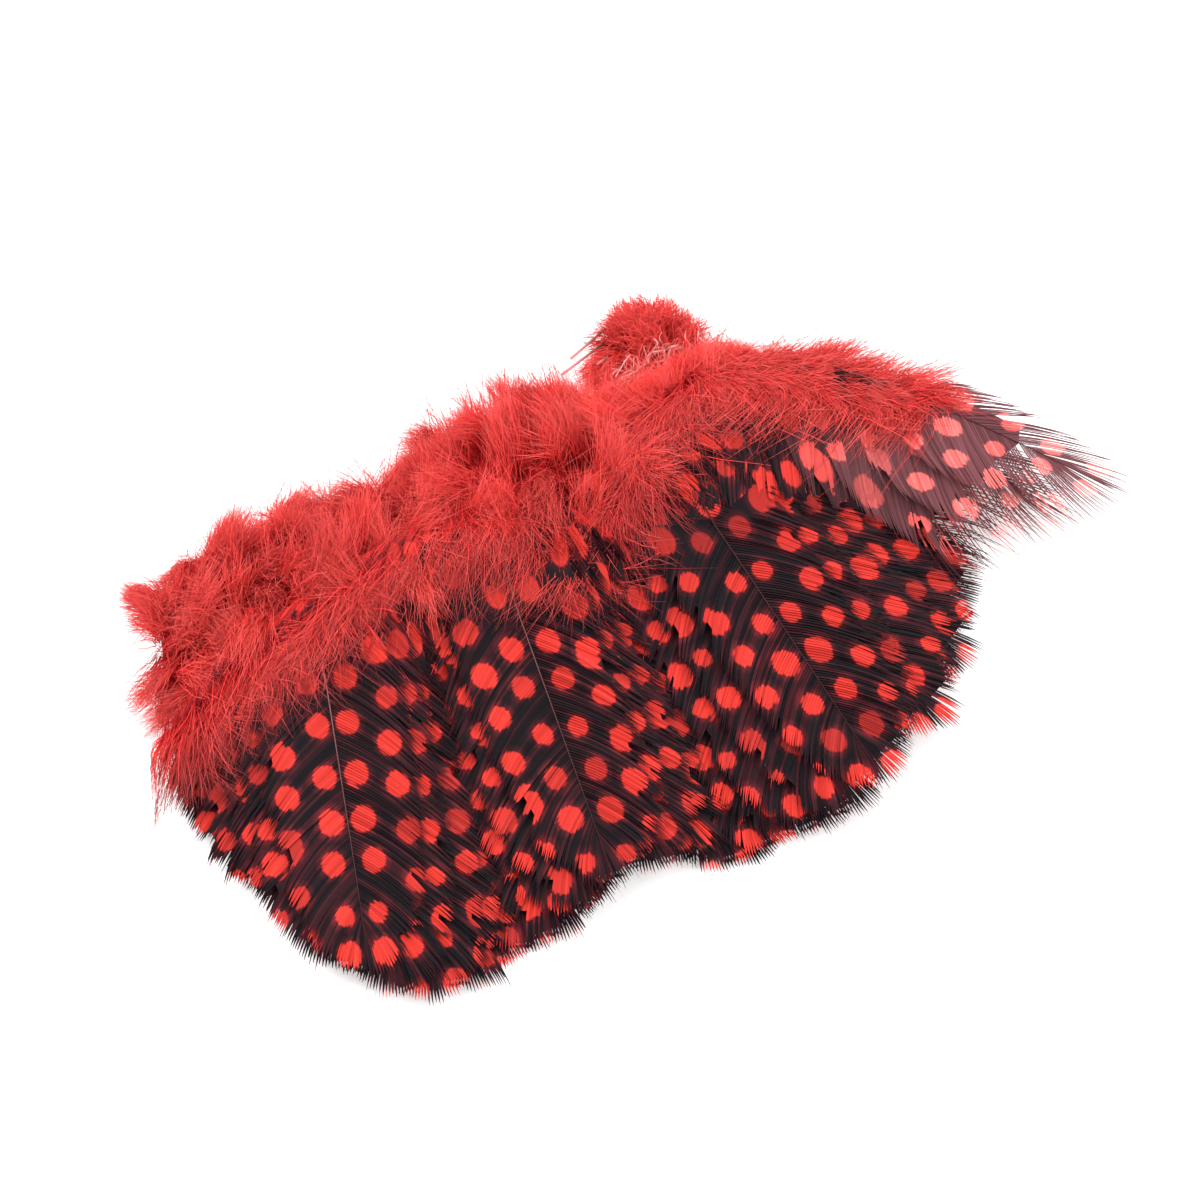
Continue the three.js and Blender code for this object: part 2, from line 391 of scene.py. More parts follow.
def read_tone(nodes, links):
    """The four values that every point of a feather carries, by name."""
    attribute = nodes.new("ShaderNodeAttribute")
    attribute.attribute_name = "tone"
    split = nodes.new("ShaderNodeSeparateColor")
    links.new(attribute.outputs["Color"], split.inputs[0])
    tone = dict(zip(("chance", "along", "depth"), split.outputs))
    tone["firm"] = attribute.outputs["Alpha"]
    return tone


# %% Down material
# Painted shade: the darker red at the down's roots stands for the shade deep inside the fluff.
DOWN_PAINTED_SHADE = (0.36, 0.008, 0.010, 1)
DOWN_RED = (0.66, 0.030, 0.029, 1)
# Painted highlight: the paler pinkish red at the down's tips stands for the light that the tufts' tips
# catch.
DOWN_TIP_HIGHLIGHT = (0.77, 0.098, 0.088, 1)
DOWN_DARK_TIP = (0.035, 0.006, 0.010, 1)
DOWN_LIGHT, DOWN_LIGHT_RANGE = 0.72, 0.62
PAINTED_SHADE_FROM, PAINTED_SHADE_TO = 0.05, 0.55
TIP_FROM, TIP_TO = 0.35, 1.0


def make_down_material():
    material, nodes, links, shader = new_material("red_down")
    tone = read_tone(nodes, links)
    # Painted shade at the roots, fading out along each barb.
    out_of_painted_shade = step_up(nodes, links, tone["along"], PAINTED_SHADE_FROM, PAINTED_SHADE_TO)
    lit = mix_colour(nodes, links, out_of_painted_shade, DOWN_PAINTED_SHADE, DOWN_RED)
    # Painted highlight on the tips of the barbs.
    at_tip = step_up(nodes, links, tone["along"], TIP_FROM, TIP_TO)
    tipped = mix_colour(nodes, links, at_tip, lit, DOWN_TIP_HIGHLIGHT)
    varied = lighten(nodes, links, tipped, tone["chance"], DOWN_LIGHT, DOWN_LIGHT_RANGE)
    coloured = mix_colour(nodes, links, tone["depth"], varied, DOWN_DARK_TIP)
    links.new(coloured, shader.inputs["Base Color"])
    shader.inputs["Roughness"].default_value = 0.75
    shader.inputs["Specular IOR Level"].default_value = 0.12
    return material


down_material = make_down_material()
print("down material's nodes:", len(down_material.node_tree.nodes))

# %% [markdown]
# ## The spots
#
# On the real bird the spots stand in slanting rows on each feather, about seven millimetres apart.
# They follow the feather, not the table, so the vane's material reads the piece's own map: across
# the vane in one direction and along it in the other, in centimetres. The map is cut into cells, and
# every second column of cells is moved along by half a cell. Each cell holds one round spot, which
# chance moves, sizes and fades a little. Around a spot the black is stained brown, as on the dyed
# feather, and a soft or worn vane is paler than a firm one.

# %% Vane material
VANE_BLACK = (0.0050, 0.0032, 0.0050, 1)
VANE_BROWN = (0.085, 0.008, 0.012, 1)
SPOT_RED = (0.55, 0.030, 0.022, 1)
VANE_PALE = (0.140, 0.046, 0.052, 1)
SPOT_PINK = (0.80, 0.150, 0.140, 1)
SPOT_ACROSS = 0.56
SPOT_ALONG = 0.80
SPOT_SIZE, SPOT_SIZE_RANGE = 0.135, 0.07
DRIFT_ACROSS, DRIFT_ALONG = 0.11, 0.16
SPOT_STRETCH = 0.82
SPOT_CLEAR, SPOT_CLEAR_RANGE = 0.42, 1.8
SPOT_SOFTNESS = 0.018
HALO_WIDTH = 0.13
BROWN_LEAST, BROWN_RANGE = -0.16, 0.50
VANE_LIGHT, VANE_LIGHT_RANGE = 0.80, 0.45


def within_cell(nodes, links, count, cell_size, chance, drift):
    """The distance from the cell's own spot in one direction, in centimetres."""
    from_middle = math_node(nodes, links, "SUBTRACT", math_node(nodes, links, "FRACT", count), 0.5)
    distance = math_node(nodes, links, "MULTIPLY", from_middle, cell_size)
    drifted = math_node(nodes, links, "MULTIPLY_ADD", chance, drift, distance)
    return math_node(nodes, links, "SUBTRACT", drifted, drift / 2)


def grid_of_spots(nodes, links, where):
    """How far a point is beyond its spot's edge, in centimetres, and how clear that spot is."""
    split = nodes.new("ShaderNodeSeparateXYZ")
    links.new(where, split.inputs[0])
    across = math_node(nodes, links, "DIVIDE", split.outputs[0], SPOT_ACROSS)
    row = math_node(nodes, links, "FLOOR", across)
    odd = math_node(nodes, links, "MODULO", row, 2)
    along = math_node(nodes, links, "DIVIDE", split.outputs[1], SPOT_ALONG)
    along = math_node(nodes, links, "MULTIPLY_ADD", odd, 0.5, along)
    cell = nodes.new("ShaderNodeCombineXYZ")
    links.new(row, cell.inputs[0])
    links.new(math_node(nodes, links, "FLOOR", along), cell.inputs[1])
    chance = nodes.new("ShaderNodeTexWhiteNoise")
    chance.noise_dimensions = "3D"
    links.new(cell.outputs[0], chance.inputs["Vector"])
    parts = nodes.new("ShaderNodeSeparateColor")
    links.new(chance.outputs["Color"], parts.inputs[0])
    side = within_cell(nodes, links, across, SPOT_ACROSS, parts.outputs[0], DRIFT_ACROSS)
    length = within_cell(nodes, links, along, SPOT_ALONG, parts.outputs[1], DRIFT_ALONG)
    offset = nodes.new("ShaderNodeCombineXYZ")
    links.new(side, offset.inputs[0])
    links.new(math_node(nodes, links, "MULTIPLY", length, SPOT_STRETCH), offset.inputs[1])
    distance = nodes.new("ShaderNodeVectorMath")
    distance.operation = "LENGTH"
    links.new(offset.outputs[0], distance.inputs[0])
    size = math_node(nodes, links, "MULTIPLY_ADD", parts.outputs[2], SPOT_SIZE_RANGE, SPOT_SIZE)
    some = parts.outputs[0]
    clear = math_node(nodes, links, "MULTIPLY_ADD", some, SPOT_CLEAR_RANGE, SPOT_CLEAR, clamp=True)
    return math_node(nodes, links, "SUBTRACT", distance.outputs["Value"], size), clear


def make_vane_material():
    material, nodes, links, shader = new_material("spotted_vane")
    tone = read_tone(nodes, links)
    where = nodes.new("ShaderNodeUVMap")
    where.uv_map = "place_on_feather"
    beyond, clear = grid_of_spots(nodes, links, where.outputs[0])
    outside = step_up(nodes, links, beyond, -SPOT_SOFTNESS, SPOT_SOFTNESS)
    inside = math_node(nodes, links, "SUBTRACT", 1.0, outside)
    spot = math_node(nodes, links, "MULTIPLY", inside, clear)
    halo = math_node(nodes, links, "SUBTRACT", 1.0, step_up(nodes, links, beyond, 0.0, HALO_WIDTH))
    chance = tone["chance"]
    brownish = math_node(nodes, links, "MULTIPLY_ADD", chance, BROWN_RANGE, BROWN_LEAST, clamp=True)
    stain = math_node(nodes, links, "MULTIPLY_ADD", halo, chance, brownish, clamp=True)
    dark = mix_colour(nodes, links, stain, VANE_BLACK, VANE_BROWN)
    ground = mix_colour(nodes, links, tone["firm"], VANE_PALE, dark)
    spot_colour = mix_colour(nodes, links, tone["firm"], SPOT_PINK, SPOT_RED)
    marked = mix_colour(nodes, links, spot, ground, spot_colour)
    coloured = mix_colour(nodes, links, tone["depth"], marked, DOWN_RED)
    varied = lighten(nodes, links, coloured, chance, VANE_LIGHT, VANE_LIGHT_RANGE)
    links.new(varied, shader.inputs["Base Color"])
    shader.inputs["Roughness"].default_value = 0.55
    shader.inputs["Specular IOR Level"].default_value = 0.10
    return material


vane_material = make_vane_material()
print("vane material's nodes:", len(vane_material.node_tree.nodes))

# %% [markdown]
# ## Shafts and thread
#
# A shaft is smooth horn. It is palest at its quill end and takes the dark dye towards the tip. The
# thread is spun: fine slanting bands, a little raised, stand for its twist.

# %% Shaft and thread materials
SHAFT_DARK = (0.05, 0.012, 0.014, 1)
QUILL_PALE = (0.88, 0.38, 0.36, 1)
SHAFT_FADE_FROM, SHAFT_FADE_TO = 0.15, 0.95
THREAD_RED = (0.14, 0.012, 0.018, 1)
THREAD_LIGHT = (0.3, 0.03, 0.04, 1)
TWIST_SCALE = 900
TWIST_DEPTH = 0.0002


def make_shaft_material():
    material, nodes, links, shader = new_material("shaft")
    tone = read_tone(nodes, links)
    dyed = step_up(nodes, links, tone["along"], SHAFT_FADE_FROM, SHAFT_FADE_TO)
    faded = math_node(nodes, links, "SUBTRACT", 1.0, dyed)
    pale = math_node(nodes, links, "MULTIPLY", faded, tone["chance"])
    colour = mix_colour(nodes, links, pale, SHAFT_DARK, QUILL_PALE)
    links.new(colour, shader.inputs["Base Color"])
    shader.inputs["Roughness"].default_value = 0.5
    shader.inputs["Specular IOR Level"].default_value = 0.15
    return material


def make_thread_material():
    material, nodes, links, shader = new_material("twisted_thread")
    position = nodes.new("ShaderNodeTexCoord")
    twist = nodes.new("ShaderNodeTexWave")
    twist.bands_direction = "DIAGONAL"
    twist.inputs["Scale"].default_value = TWIST_SCALE
    links.new(position.outputs["Object"], twist.inputs["Vector"])
    colour = mix_colour(nodes, links, twist.outputs["Fac"], THREAD_RED, THREAD_LIGHT)
    links.new(colour, shader.inputs["Base Color"])
    bump = nodes.new("ShaderNodeBump")
    bump.inputs["Strength"].default_value = 0.5
    bump.inputs["Distance"].default_value = TWIST_DEPTH
    links.new(twist.outputs["Fac"], bump.inputs["Height"])
    links.new(bump.outputs[0], shader.inputs["Normal"])
    shader.inputs["Roughness"].default_value = 0.8
    return material


shaft_material = make_shaft_material()
thread_material = make_thread_material()
MATERIALS = [down_material, vane_material, shaft_material]
DOWN, VANE, SHAFT = 0, 1, 2
print("materials on a feather:", [material.name for material in MATERIALS])

# %% [markdown]
# ## The ridge's back
#
# The thread holds the quills so close that the down has no room sideways, so it springs up into a
# rounded ridge. In front it reaches only as far as the measured edge: where that edge is near the
# thread, the spotted vanes climb over the ridge almost to its crest. Behind, the lowest down sags to
# the table.

# %% The ridge and the top of the stack
HEART_OUT, HEART_HEIGHT = 2, 4
SAG, SAG_FROM, SAG_TURN = 2.4, 2.5, 0.55
SLOPE_LENGTH = 23.5
SLOPE_LAYER_STEP = 0.12
BLEND_SOFTNESS = 1.2
BLEND_END = 30
NEIGHBOURS_ON_TOP = 3


def ridge_height(place):
    return DOWN_HEIGHT * end_scale(place) * (0.5 + 0.5 * read_table(RIDGE_LUMPS, place))


def ridge_point(place, turn, size):
    """A point in the ridge: turn runs from 0 in front, over the crest, to pi at the back."""
    scale = end_scale(place)
    lump = read_table(RIDGE_LUMPS, place)
    front = DOWN_FRONT * (0.5 + 0.5 * scale)
    out = np.where(turn > math.pi / 2, DOWN_BACK * scale * lump, front) * np.cos(turn)
    height = ridge_height(place) * (0.10 + 0.90 * np.sin(turn))
    sag = SAG * np.clip((turn - SAG_FROM) / SAG_TURN, 0, 1)
    spot = plan(place, HEART_OUT + (out - HEART_OUT) * size)
    return np.concatenate([spot, (HEART_HEIGHT + (height - HEART_HEIGHT) * size - sag)[..., None]], axis=-1)


def slope_height(place, out):
    """The height of the ridge's front slope, where the vanes lie on it."""
    flat = np.clip(1 - (np.asarray(out, float) / SLOPE_LENGTH) ** 2, 0, 1)
    return ridge_height(place) * (0.08 + 0.88 * np.sqrt(flat))


def vane_height(level, place, out):
    """The stack's height beyond the ridge, blended into the ridge's slope nearer the thread."""
    out = np.asarray(out, float)
    stack = stack_height(level, out)
    slope = np.where(out < SLOPE_LENGTH, slope_height(place, out) + SLOPE_LAYER_STEP * level, 0)
    top = np.maximum(stack, slope)
    rounding = np.log(np.exp((stack - top) / BLEND_SOFTNESS) + np.exp((slope - top) / BLEND_SOFTNESS))
    return top + BLEND_SOFTNESS * rounding * (out < BLEND_END)


def top_layer(place):
    """The highest layer among a feather and its neighbours."""
    first = max(place - NEIGHBOURS_ON_TOP, 0)
    last = min(place + NEIGHBOURS_ON_TOP + 1, RIDGE_FEATHERS)
    return max(layer(other) for other in range(first, last))


TOP_LEVEL = [top_layer(place) for place in range(RIDGE_FEATHERS)]


def top_height(place, out):
    """The height of the topmost vane, where loose down lies on it."""
    level = np.interp(place, np.arange(RIDGE_FEATHERS), TOP_LEVEL)
    return vane_height(level, place, out)


crest_heights = [round(float(ridge_height(place)), 1) for place in range(0, RIDGE_FEATHERS, 8)]
print("ridge's crest in millimetres:", crest_heights)

# %% [markdown]
# ## The vane
#
# A vane is two rows of barbs that leave the shaft at a slant and bend towards the tip. Their free
# ends set the outline, so the ends are spaced evenly along it, and each barb is a curve from its
# root on the shaft to its end. Near the end a barb grows thin and stands free, which gives the
# fringe. Here and there the row splits, because barbs hook onto each other and come apart in groups.
# The strip's first and last feathers are worn: some of their barbs are gone and the rest stand apart.

# %% The vane's outline and surface
MOST_LEAN = 0.9
LOOSE_AT_LEFT, LOOSE_AT_RIGHT = 15, 35
PALE_FROM, PALE_OVER = 36, 3
BURIED_DEPTH, BURIED_LENGTH = 6, 9
EDGE_OVERLAP = 3
SHAFT_CROWN = 0.3
LEAST_HEIGHT = 0.12


class Lie:
    """How one ridge feather lies: its shaft line in plan, and its height in the stack."""

    def __init__(self, place):
        self.place = place
        self.tip = reach(place)
        self.level = layer(place)
        self.lean = MOST_LEAN * (vary(place + 20) - 0.5)
        self.edge = float(read_table(DOWN_EDGE, place))
        self.looseness = float(np.clip((3 - place) / 3, 0, 1) + np.clip((place - 35) / 2, 0, 1))
        self.loose_from = LOOSE_AT_RIGHT if place > 20 else LOOSE_AT_LEFT
        self.paleness = float(np.clip((place - PALE_FROM) / PALE_OVER, 0, 1))

    def half_width(self, out, side):
        t = np.clip((out - VANE_START) / (self.tip - VANE_START), 0, 1)
        of_place = LEFT_VANE_SHARE + (1 - LEFT_VANE_SHARE) * min(self.place / 5, 1)
        if side > 0:
            of_place *= float(np.interp(self.place, [36, 39], [1, RIGHT_EDGE_SHARE]))
        grown = np.clip((out - self.edge + 8) / 16, 0.15, 1) ** 0.6
        return of_place * VANE_HALF_WIDTH * grown * np.sqrt(np.maximum(0, 1 - t ** 4))

    def buried(self, out):
        """How deep the vane's start lies under the down."""
        return BURIED_DEPTH * np.clip((self.edge + EDGE_OVERLAP - out) / BURIED_LENGTH, 0, 1) ** 1.3

    def map_along(self, out):
        """Where the spots' map is along this feather: each feather starts at another part of it."""
        return out + 6.6 * vary(self.place + 50) + 33 * self.place

    def surface(self, out, across, lift=0.0):
        """The point on the feather at a distance out along the shaft and across from it."""
        middle = self.place + self.lean * np.clip((out - VANE_START) / 50, 0, 1)
        angle = direction(middle)
        side = np.stack([-np.sin(angle), np.cos(angle)], axis=-1)
        spot = plan(middle, out) + side * across[..., None]
        height = vane_height(self.level, self.place, out) - self.buried(out)
        crown = SHAFT_CROWN * (1 - (across / VANE_HALF_WIDTH) ** 2)
        return np.concatenate([spot, (height + crown + lift)[..., None]], axis=-1)


print("worn feathers:", [place + 1 for place in range(RIDGE_FEATHERS) if Lie(place).looseness > 0])

# %% Vane barbs
BARB_SPACING = 0.56
BARB_STEPS = 9
BARB_SLANT = 15
BARB_BOW_OUT, BARB_BOW_WIDE = 0.42, 0.62
BARB_HALF_WIDTH, BARB_WIDENING = 0.17, 0.06
BARB_ROLL, BARB_ROLL_RANGE = 0.22, 0.14
LOOSENS_OVER = 7
LAST_LOOSE_FROM, LAST_LOOSENS_OVER, LAST_LOOSENESS = 14, 6, 0.8
BARB_THIN_FROM = 0.8
BARB_THIN_END = 0.012
SPLITS = 5
SPLIT_REACH = 0.05
WIDE_SPLIT, WIDE_SPLIT_AT, WIDE_SPLIT_REACH = 3.5, 0.55, 0.16
RAGGED_SPOTS = 0.14
OUTLINE_STEPS = 200
UP = np.array([0.0, 0.0, 1.0])


def barb_ends(lie, side):
    """The free ends, evenly spaced along the vane's outline: out along the shaft and across."""
    first = lie.edge + 1
    out = first + (lie.tip - first) * np.linspace(0, 1, OUTLINE_STEPS) ** 0.8
    wide = lie.half_width(out, side)
    length = np.concatenate([[0], np.cumsum(np.hypot(np.diff(out), np.diff(wide)))])
    at = np.linspace(0, length[-1], int((lie.tip + 10 - first) / BARB_SPACING))
    return np.interp(at, length, out), np.interp(at, length, wide)


def split_shift(lie, rng, side, part, loose):
    """How far the ends move along the shaft where the row comes apart in groups."""
    shift = np.zeros(len(part))
    for split in rng.uniform(0.08, 0.95, SPLITS):
        size = 0.4 + rng.exponential(0.8)
        shift += size * np.sign(part - split) * np.exp(-np.abs(part - split) / SPLIT_REACH)
    if lie.place > 38 and side > 0:
        beyond = part - WIDE_SPLIT_AT
        shift += WIDE_SPLIT * np.sign(beyond) * np.exp(-np.abs(beyond) / WIDE_SPLIT_REACH)
    return shift + (0.15 + 0.2 * loose) * rng.normal(0, 1, len(part))


def add_vane(mesh, lie, rng, side):
    end_out, end_wide = barb_ends(lie, side)
    n = len(end_out)
    part = np.linspace(0, 1, n)
    loose = lie.looseness * np.clip((end_out - lie.loose_from) / LOOSENS_OVER, 0, 1)
    if lie.place > 37 and side > 0:
        at_back = np.clip((end_out - LAST_LOOSE_FROM) / LAST_LOOSENS_OVER, 0, 1)
        loose = np.maximum(loose, LAST_LOOSENESS * at_back)
    start = np.maximum(end_out - BARB_SLANT + 6 * part - 6 * loose, lie.edge - 7)
    shift = split_shift(lie, rng, side, part, loose)
    # A few barbs are a little longer or shorter than their neighbours.
    length = 1 + rng.exponential(0.035, n) * rng.choice([-0.6, 1], n)
    q = np.linspace(0, 1, BARB_STEPS)[None, :] * length[:, None]
    bow_out = start + BARB_BOW_OUT * (end_out - start)
    out = (1 - q) ** 2 * start[:, None] + 2 * q * (1 - q) * bow_out[:, None] + q ** 2 * end_out[:, None]
    wide = 2 * q * (1 - q) * BARB_BOW_WIDE * end_wide[:, None] + q ** 2 * end_wide[:, None]
    lift = (0.12 + 0.3 * loose[:, None]) * rng.standard_normal(n)[:, None] * q ** 2
    lines = lie.surface(out + shift[:, None] * q ** 2, side * wide, lift)
    lines[..., 2] = np.maximum(lines[..., 2], LEAST_HEIGHT)
    # Each ribbon lies almost flat, rolled a little so that its edge catches the light.
    flat = unit(np.cross(unit(np.gradient(lines, axis=1)), UP))
    roll = BARB_ROLL + BARB_ROLL_RANGE * rng.standard_normal((n, 1, 1))
    sideways = flat * np.cos(roll) + UP * np.sin(roll)
    thin_from = BARB_THIN_FROM - 0.3 * loose[:, None]
    thin = np.clip((q - thin_from) / (1 - thin_from), 0, 1)
    full = (BARB_HALF_WIDTH + BARB_WIDENING * q) * (1 - 0.30 * loose[:, None])
    widths = full * (1 - thin) ** 0.9 + BARB_THIN_END
    ragged = rng.normal(0, RAGGED_SPOTS, n)[:, None]
    maps = np.stack([wide, lie.map_along(out + ragged)], axis=-1) * 0.1
    chance = rng.uniform(0, 1, n)[:, None]
    soft = np.clip((lie.edge + EDGE_OVERLAP - out + 2 * rng.standard_normal((n, 1))) / 6, 0, 1)
    tones = np.stack(np.broadcast_arrays(chance, q, soft, 1 - lie.paleness), axis=-1)
    kept = rng.uniform(0, 1, n) > loose * (0.15 if lie.place > 38 else 0.6)
    mesh.add_ribbons(lines[kept], widths[kept], sideways[kept], maps[kept], tones[kept], VANE)


# %% [markdown]
# ## Barbules and shaft
#
# Barbules are the tiny hooks between barbs that close the vane. They are far too fine to make one by
# one, so a thin sheet just under the barbs stands for them, and ends short of the fringe. The shaft
# is a round tube that comes up out of the down, thick at the quill and hair-thin at the tip.

# %% Barbules and shaft
WEB_STEPS = 12
WEB_COLUMNS = 9
WEB_UNDER = 0.22
WEB_LEAST_HEIGHT = 0.1
WEB_SHARE, WORN_WEB_SHARE = 0.82, 0.45
WEB_CHANCE = 0.35
SHAFT_STEPS = 26
SHAFT_SIDES = 6
SHAFT_RADII = [0.5, 0.26, 0.10, 0.04]
QUILL_HEIGHT = 4.6


def add_web(mesh, lie):
    last = min(lie.tip - 5, lie.loose_from - 1) if lie.looseness > 0 else lie.tip - 5
    out = np.linspace(lie.edge - 2, max(last, lie.edge), WEB_STEPS)
    across = np.linspace(-1, 1, WEB_COLUMNS)
    front = WEB_SHARE * lie.half_width(out, -1)[:, None]
    back = (WORN_WEB_SHARE if lie.place > 37 else WEB_SHARE) * lie.half_width(out, 1)[:, None]
    wide = np.where(across < 0, front, back) * across
    far = np.broadcast_to(out[:, None], wide.shape) - 0.35 * np.abs(wide)
    grid = lie.surface(far, wide, -WEB_UNDER)
    grid[..., 2] = np.maximum(grid[..., 2], WEB_LEAST_HEIGHT)
    maps = np.stack([np.abs(wide), lie.map_along(far)], axis=-1) * 0.1
    soft = np.clip((lie.edge + 4 - far) / 6, 0, 1)
    tones = np.stack(np.broadcast_arrays(WEB_CHANCE, 0.0, soft, 1 - lie.paleness), axis=-1)
    mesh.add_grid(grid[None], maps[None], tones[None], VANE)


def add_shaft(mesh, lie):
    out = np.linspace(-9, lie.tip - 4, SHAFT_STEPS)
    line = lie.surface(out, 0 * out, 0.10)
    emerging = np.clip((out + 3) / (lie.edge + 5), 0, 1) ** 2
    line[:, 2] = QUILL_HEIGHT + (line[:, 2] - QUILL_HEIGHT) * emerging
    radii = np.interp(out, [-9, 8, 26, lie.tip], SHAFT_RADII)
    paleness = 0.4 * float(vary(lie.place + 33) ** 3)
    mesh.add_tube(line, radii, SHAFT_SIDES, (paleness, 0, 0, 1), SHAFT)


# %% [markdown]
# ## The down
#
# Down barbs are long, very fine and soft, and they cling together in locks. A lock is a group of
# barbs that share one goal on the ridge's back. All locks are laid out first, over the whole ridge,
# so that barbs of neighbouring feathers join the same lock, as they do on the real strip. A barb
# rises from its shaft, lies down along the ridge in its lock's direction, and parts at the tip.

# %% Locks of down
LOCKS = 250
LOCK_SEED = 7
DOWN_OVERHANG = 5.5
END_OVERHANG = 5.0
LAST_TURN = math.radians(174)
SIDE_PACE = 2.9
TURN_PACE = 17.0
CREST = 1.2
lock_rng = np.random.default_rng(LOCK_SEED)


def lowest_turn(place):
    """How far down the front the tufts reach: a little over the edge where the spots begin."""
    overhang = DOWN_OVERHANG + END_OVERHANG * np.clip((place - 31) / 2, 0, 1)
    front = (read_table(DOWN_EDGE, place) + overhang) / DOWN_FRONT
    return np.arccos(np.clip(front, 0, 0.985))


def random_turns(rng, place, count):
    """Turns spread evenly from the lowest one in front, over the crest, to the table behind."""
    lowest = lowest_turn(place)
    return lowest + (LAST_TURN - lowest) * rng.uniform(0, 1, count)


def bump_at(place, middle, width):
    """1 at a middle place, fading to 0 around it."""
    return np.exp(-((place - middle) / width) ** 2)


lock_place = lock_rng.uniform(-1.2, RIDGE_FEATHERS - 0.1, LOCKS)
lock_turn = random_turns(lock_rng, lock_place, LOCKS)
from_left = lock_place + 0.9
# Sizes: taller tufts behind the left end and in front, lower ones where the photo's crest is low.
lock_size = lock_rng.uniform(0.84, 1.22, LOCKS)
lock_size += 0.16 * np.exp(-from_left / 2.5) * (lock_turn > 1.3)
lock_size += 0.06 * (lock_turn < 1.1)
for middle, width, drop in [(30, 3, 0.13), (11, 5, 0.10), (37, 4, 0.08)]:
    lock_size -= drop * bump_at(lock_place, middle, width) * (lock_turn > CREST)
# Every lock lies over in its own direction; at both ends they lean outwards.
lock_swirl = lock_rng.uniform(0, 2 * math.pi, LOCKS)
lock_lie = lock_rng.uniform(2.0, 8.5, LOCKS)
lock_side = lock_lie * np.cos(lock_swirl) - 1.0 + 3 * (lock_place > 31)
lock_side -= 2.5 * np.exp(-from_left / 2.2)
lock_side += 2 * np.exp((lock_place - RIDGE_FEATHERS) / 1.6)
lock_side = np.clip(lock_side, -9, 6)
lock_slip = lock_lie * np.sin(lock_swirl) / DOWN_HEIGHT
lock_slip += np.clip((lock_turn - 1.0) * 0.08, 0, 0.08)
lock_slip *= np.clip(from_left / 3, 0.2, 1)
lock_light = lock_rng.uniform(0, 1, LOCKS) + 0.5 * np.clip((lock_place - 24) / 6, 0, 1)
print("locks:", LOCKS, "smallest and largest:", lock_size.min().round(2), lock_size.max().round(2))

# %% [markdown]
# ## Down barbs and the ridge's core
#
# Each feather adds its own barbs to the locks around it. Below them the down is packed too close to
# tell barbs apart, so a closed slice of the ridge stands for it. Its colour is painted shade, the
# dark red of the down's roots. It also keeps light from shining through from behind, which the
# real ridge doesn't let through either.

# %% Down barbs
DOWN_BARBS = 1900
DOWN_STEPS = 5
DOWN_HALF_WIDTH = 0.055
HAIR_END = 0.012
CURL = 0.6
FIRST_TURN_LEFT, LAST_TURN_LEFT = 0.03, 3.11
CORE_STEPS = 14
CORE_FROM_TABLE = 0.06
CORE_CORNERS = [(-0.5, 0.66), (0.5, 0.66), (0.5, 0.1), (-0.5, 0.1)]
# Painted shade: the core takes the down's root colour, which stands for the shade inside the fluff.
CORE_SHADE_TONE = np.array([0.3, 0, 0, 1])


def curl(rng, lines, size):
    """Adds a gentle wave to every line, growing from its root."""
    n, k = lines.shape[:2]
    q = np.linspace(0, 1, k)[None, :, None]
    phase = rng.uniform(0, 2 * math.pi, (n, 1, 3))
    return lines + size * np.sin(q * rng.uniform(3, 8, (n, 1, 3)) + phase) * q ** 1.4


def add_hairs(mesh, rng, lines, half_width, chance, shade):
    """Fine soft barbs along lines (n, k, 3); shade (n, k) darkens them."""
    n, k = lines.shape[:2]
    lines[..., 2] = np.maximum(lines[..., 2], LEAST_HEIGHT)
    tangent = unit(np.gradient(lines, axis=1))
    sideways = unit(np.cross(tangent, rng.standard_normal((n, 1, 3))))
    q = np.linspace(0, 1, k)[None, :]
    widths = half_width * rng.uniform(0.7, 1.3, (n, 1)) * (1 - q) ** 0.5 + HAIR_END
    tones = np.stack(np.broadcast_arrays(chance[:, None], q, shade, 1.0), axis=-1)
    mesh.add_ribbons(lines, widths, sideways, np.zeros(2), tones, DOWN)


def add_down(mesh, lie, rng):
    n = DOWN_BARBS
    place = np.clip(lie.place + rng.normal(0, 0.6, n), -0.9, RIDGE_FEATHERS - 0.1)
    turn = random_turns(rng, place, n)
    # The nearest lock takes the barb along, more or less strongly.
    far = np.hypot((place[:, None] - lock_place) * SIDE_PACE, (turn[:, None] - lock_turn) * TURN_PACE)
    mine = far.argmin(axis=1)
    cling = rng.uniform(0.25, 0.85, n)
    end_place = place + cling * (lock_place[mine] - place) + lock_side[mine] / SIDE_PACE
    end_turn = turn + cling * (lock_turn[mine] - turn) + lock_slip[mine]
    end_place += rng.normal(0, 0.6, n) - 1.1 * np.exp(-(place + 0.9) / 1.6)
    end_turn = np.maximum(end_turn, lowest_turn(end_place) - rng.uniform(-0.05, 0.25, n))
    end_turn = np.clip(end_turn + rng.normal(0, 0.10, n), FIRST_TURN_LEFT, LAST_TURN_LEFT)
    # Barbs near a lock's middle reach farthest, and a few stray ones stand out of it.
    end_size = lock_size[mine] + 0.08 - 0.03 * far.min(axis=1) - np.abs(rng.normal(0, 0.10, n))
    end_size = np.clip(end_size, 0.72, 1.24) + 0.3 * (rng.uniform(0, 1, n) < 0.03)
    q = np.linspace(0, 1, DOWN_STEPS)[None, :]
    bend = q ** 1.7
    at_place = place[:, None] + (end_place - place)[:, None] * bend
    at_turn = turn[:, None] + (end_turn - turn)[:, None] * bend
    at_size = 0.5 + (end_size[:, None] - 0.5) * q ** 0.75
    lines = curl(rng, ridge_point(at_place, at_turn, at_size), CURL)
    chance = 0.5 * rng.uniform(0, 1, n) + 0.5 * lock_light[mine]
    add_hairs(mesh, rng, lines, DOWN_HALF_WIDTH, chance, np.zeros((n, 1)))


